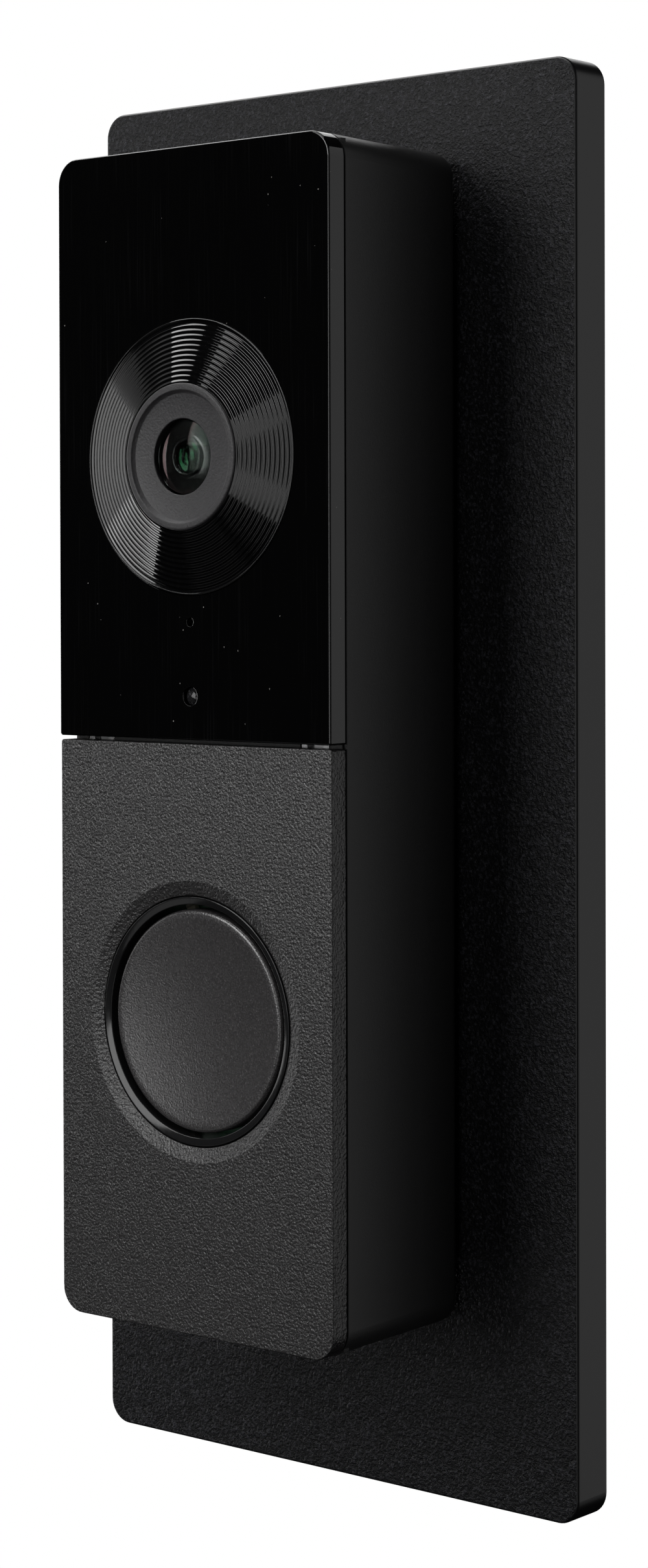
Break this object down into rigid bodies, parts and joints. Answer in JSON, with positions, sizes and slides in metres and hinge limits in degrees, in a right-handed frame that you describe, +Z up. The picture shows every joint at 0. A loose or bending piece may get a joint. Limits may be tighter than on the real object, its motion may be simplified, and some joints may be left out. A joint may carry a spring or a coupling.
{
  "type": "video doorbell",
  "caption": "Slim wall-mounted video doorbell: glossy camera fascia with grooved lens trim, sand-blasted lower cover with a round ring-lit button, on a wall plate.",
  "frame": {"origin": "centre of the wall plate's back face, which lies on the wall", "axes": "+X to the right of a person facing the doorbell, +Y into the wall, +Z up; the front faces -Y"},
  "size_m": [0.07, 0.0303, 0.159],
  "materials": {
    "plate_black": "coarse grained black, satin edge",
    "housing_black": "fine matt black",
    "fascia_gloss": "polished piano black",
    "cover_charcoal": "fine sand-blasted charcoal",
    "trim_gloss": "polished black with turned grooves",
    "bezel_grey": "matt dark grey",
    "coated_glass": "coated optical glass",
    "clear_plastic": "clear moulded window",
    "smoked_guide": "smoked glossy light guide",
    "button_black": "fine matt black",
    "barrel_black": "black anodised",
    "holder_black": "moulded black",
    "seal_rubber": "silicone",
    "clear_silicone": "translucent silicone",
    "foam_black": "closed-cell foam",
    "bracket_steel": "black powder coat",
    "screw_steel": "zinc plated",
    "screw_black": "black oxide",
    "board_green": "solder mask",
    "chip_black": "moulded package",
    "lamp_white": "LED package",
    "flex_amber": "polyimide film",
    "shield_tin": "tinned steel",
    "spreader_aluminium": "milled",
    "pad_grey": "gap filler",
    "antenna_brass": "plated strip",
    "coil_ferrite": "ferrite",
    "sleeve_blue": "shrink sleeve",
    "terminal_green": "moulded nylon",
    "cone_paper": "pressed film",
    "coil_copper": "enamelled copper",
    "magnet_nickel": "nickel plated",
    "mesh_black": "woven acoustic mesh"
  },
  "bodies": {
    "doorbell": {"backup_capacitor": "sleeve_blue", "board_screws": "screw_steel", "bracket_screws": "screw_steel", "button_board": "board_green", "button_dome": "clear_silicone", "button_flex": "flex_amber", "camera_board": "board_green", "camera_flex": "flex_amber", "camera_screws": "screw_steel", "camera_trim_ring": "trim_gloss", "chassis_frame": "housing_black", "chassis_screws": "screw_steel", "front_lens": "coated_glass", "heat_spreader": "spreader_aluminium", "housing_seal": "seal_rubber", "image_sensor": "chip_black", "ir_led_board": "board_green", "ir_leds": "chip_black", "lens_barrel": "barrel_black", "lens_bezel": "bezel_grey", "lens_holder": "holder_black", "lens_retainer": "barrel_black", "light_ring": "smoked_guide", "light_sensor": "lamp_white", "lower_cover": "cover_charcoal", "main_board": "board_green", "mic_boot": "seal_rubber", "microphone": "shield_tin", "mounting_bracket": "bracket_steel", "power_board": "board_green", "power_inductor": "coil_ferrite", "processor": "chip_black", "rear_housing": "housing_black", "rear_lens": "coated_glass", "ring_leds": "lamp_white", "security_screw": "screw_black", "sensor_board": "board_green", "sensor_window": "clear_plastic", "shield_can": "shield_tin", "speaker_frame": "holder_black", "speaker_gasket": "foam_black", "speaker_magnet": "magnet_nickel", "speaker_mesh": "mesh_black", "speaker_surround": "seal_rubber", "switch_body": "holder_black", "terminal_block": "terminal_green", "terminal_screws": "screw_steel", "thermal_pad": "pad_grey", "upper_fascia": "fascia_gloss", "wall_gasket": "foam_black", "wall_plate": "plate_black", "wifi_antenna": "antenna_brass"},
    "button": {"button_cap": "button_black"},
    "plunger": {"switch_plunger": "lamp_white"},
    "diaphragm": {"speaker_cone": "cone_paper", "voice_coil": "coil_copper"}
  },
  "joints": [
    {"name": "button_press", "type": "slide", "parent": "doorbell", "child": "button", "axis": [0, 1, 0], "range_m": [0, 0.0004], "stiffness_N_per_m": 2500, "springref_m": -0.0004, "deforming": ["button_dome"]},
    {"name": "switch_press", "type": "slide", "parent": "doorbell", "child": "plunger", "axis": [0, 1, 0], "range_m": [0, 0.0004]},
    {"name": "diaphragm_slide", "type": "slide", "parent": "doorbell", "child": "diaphragm", "axis": [0, 0, 1], "range_m": [-0.0003, 0.0003], "stiffness_N_per_m": 800, "deforming": ["speaker_surround"]}
  ],
  "couplings": [
    {"joint": "switch_press", "follows": "button_press", "ratio": 1}
  ]
}
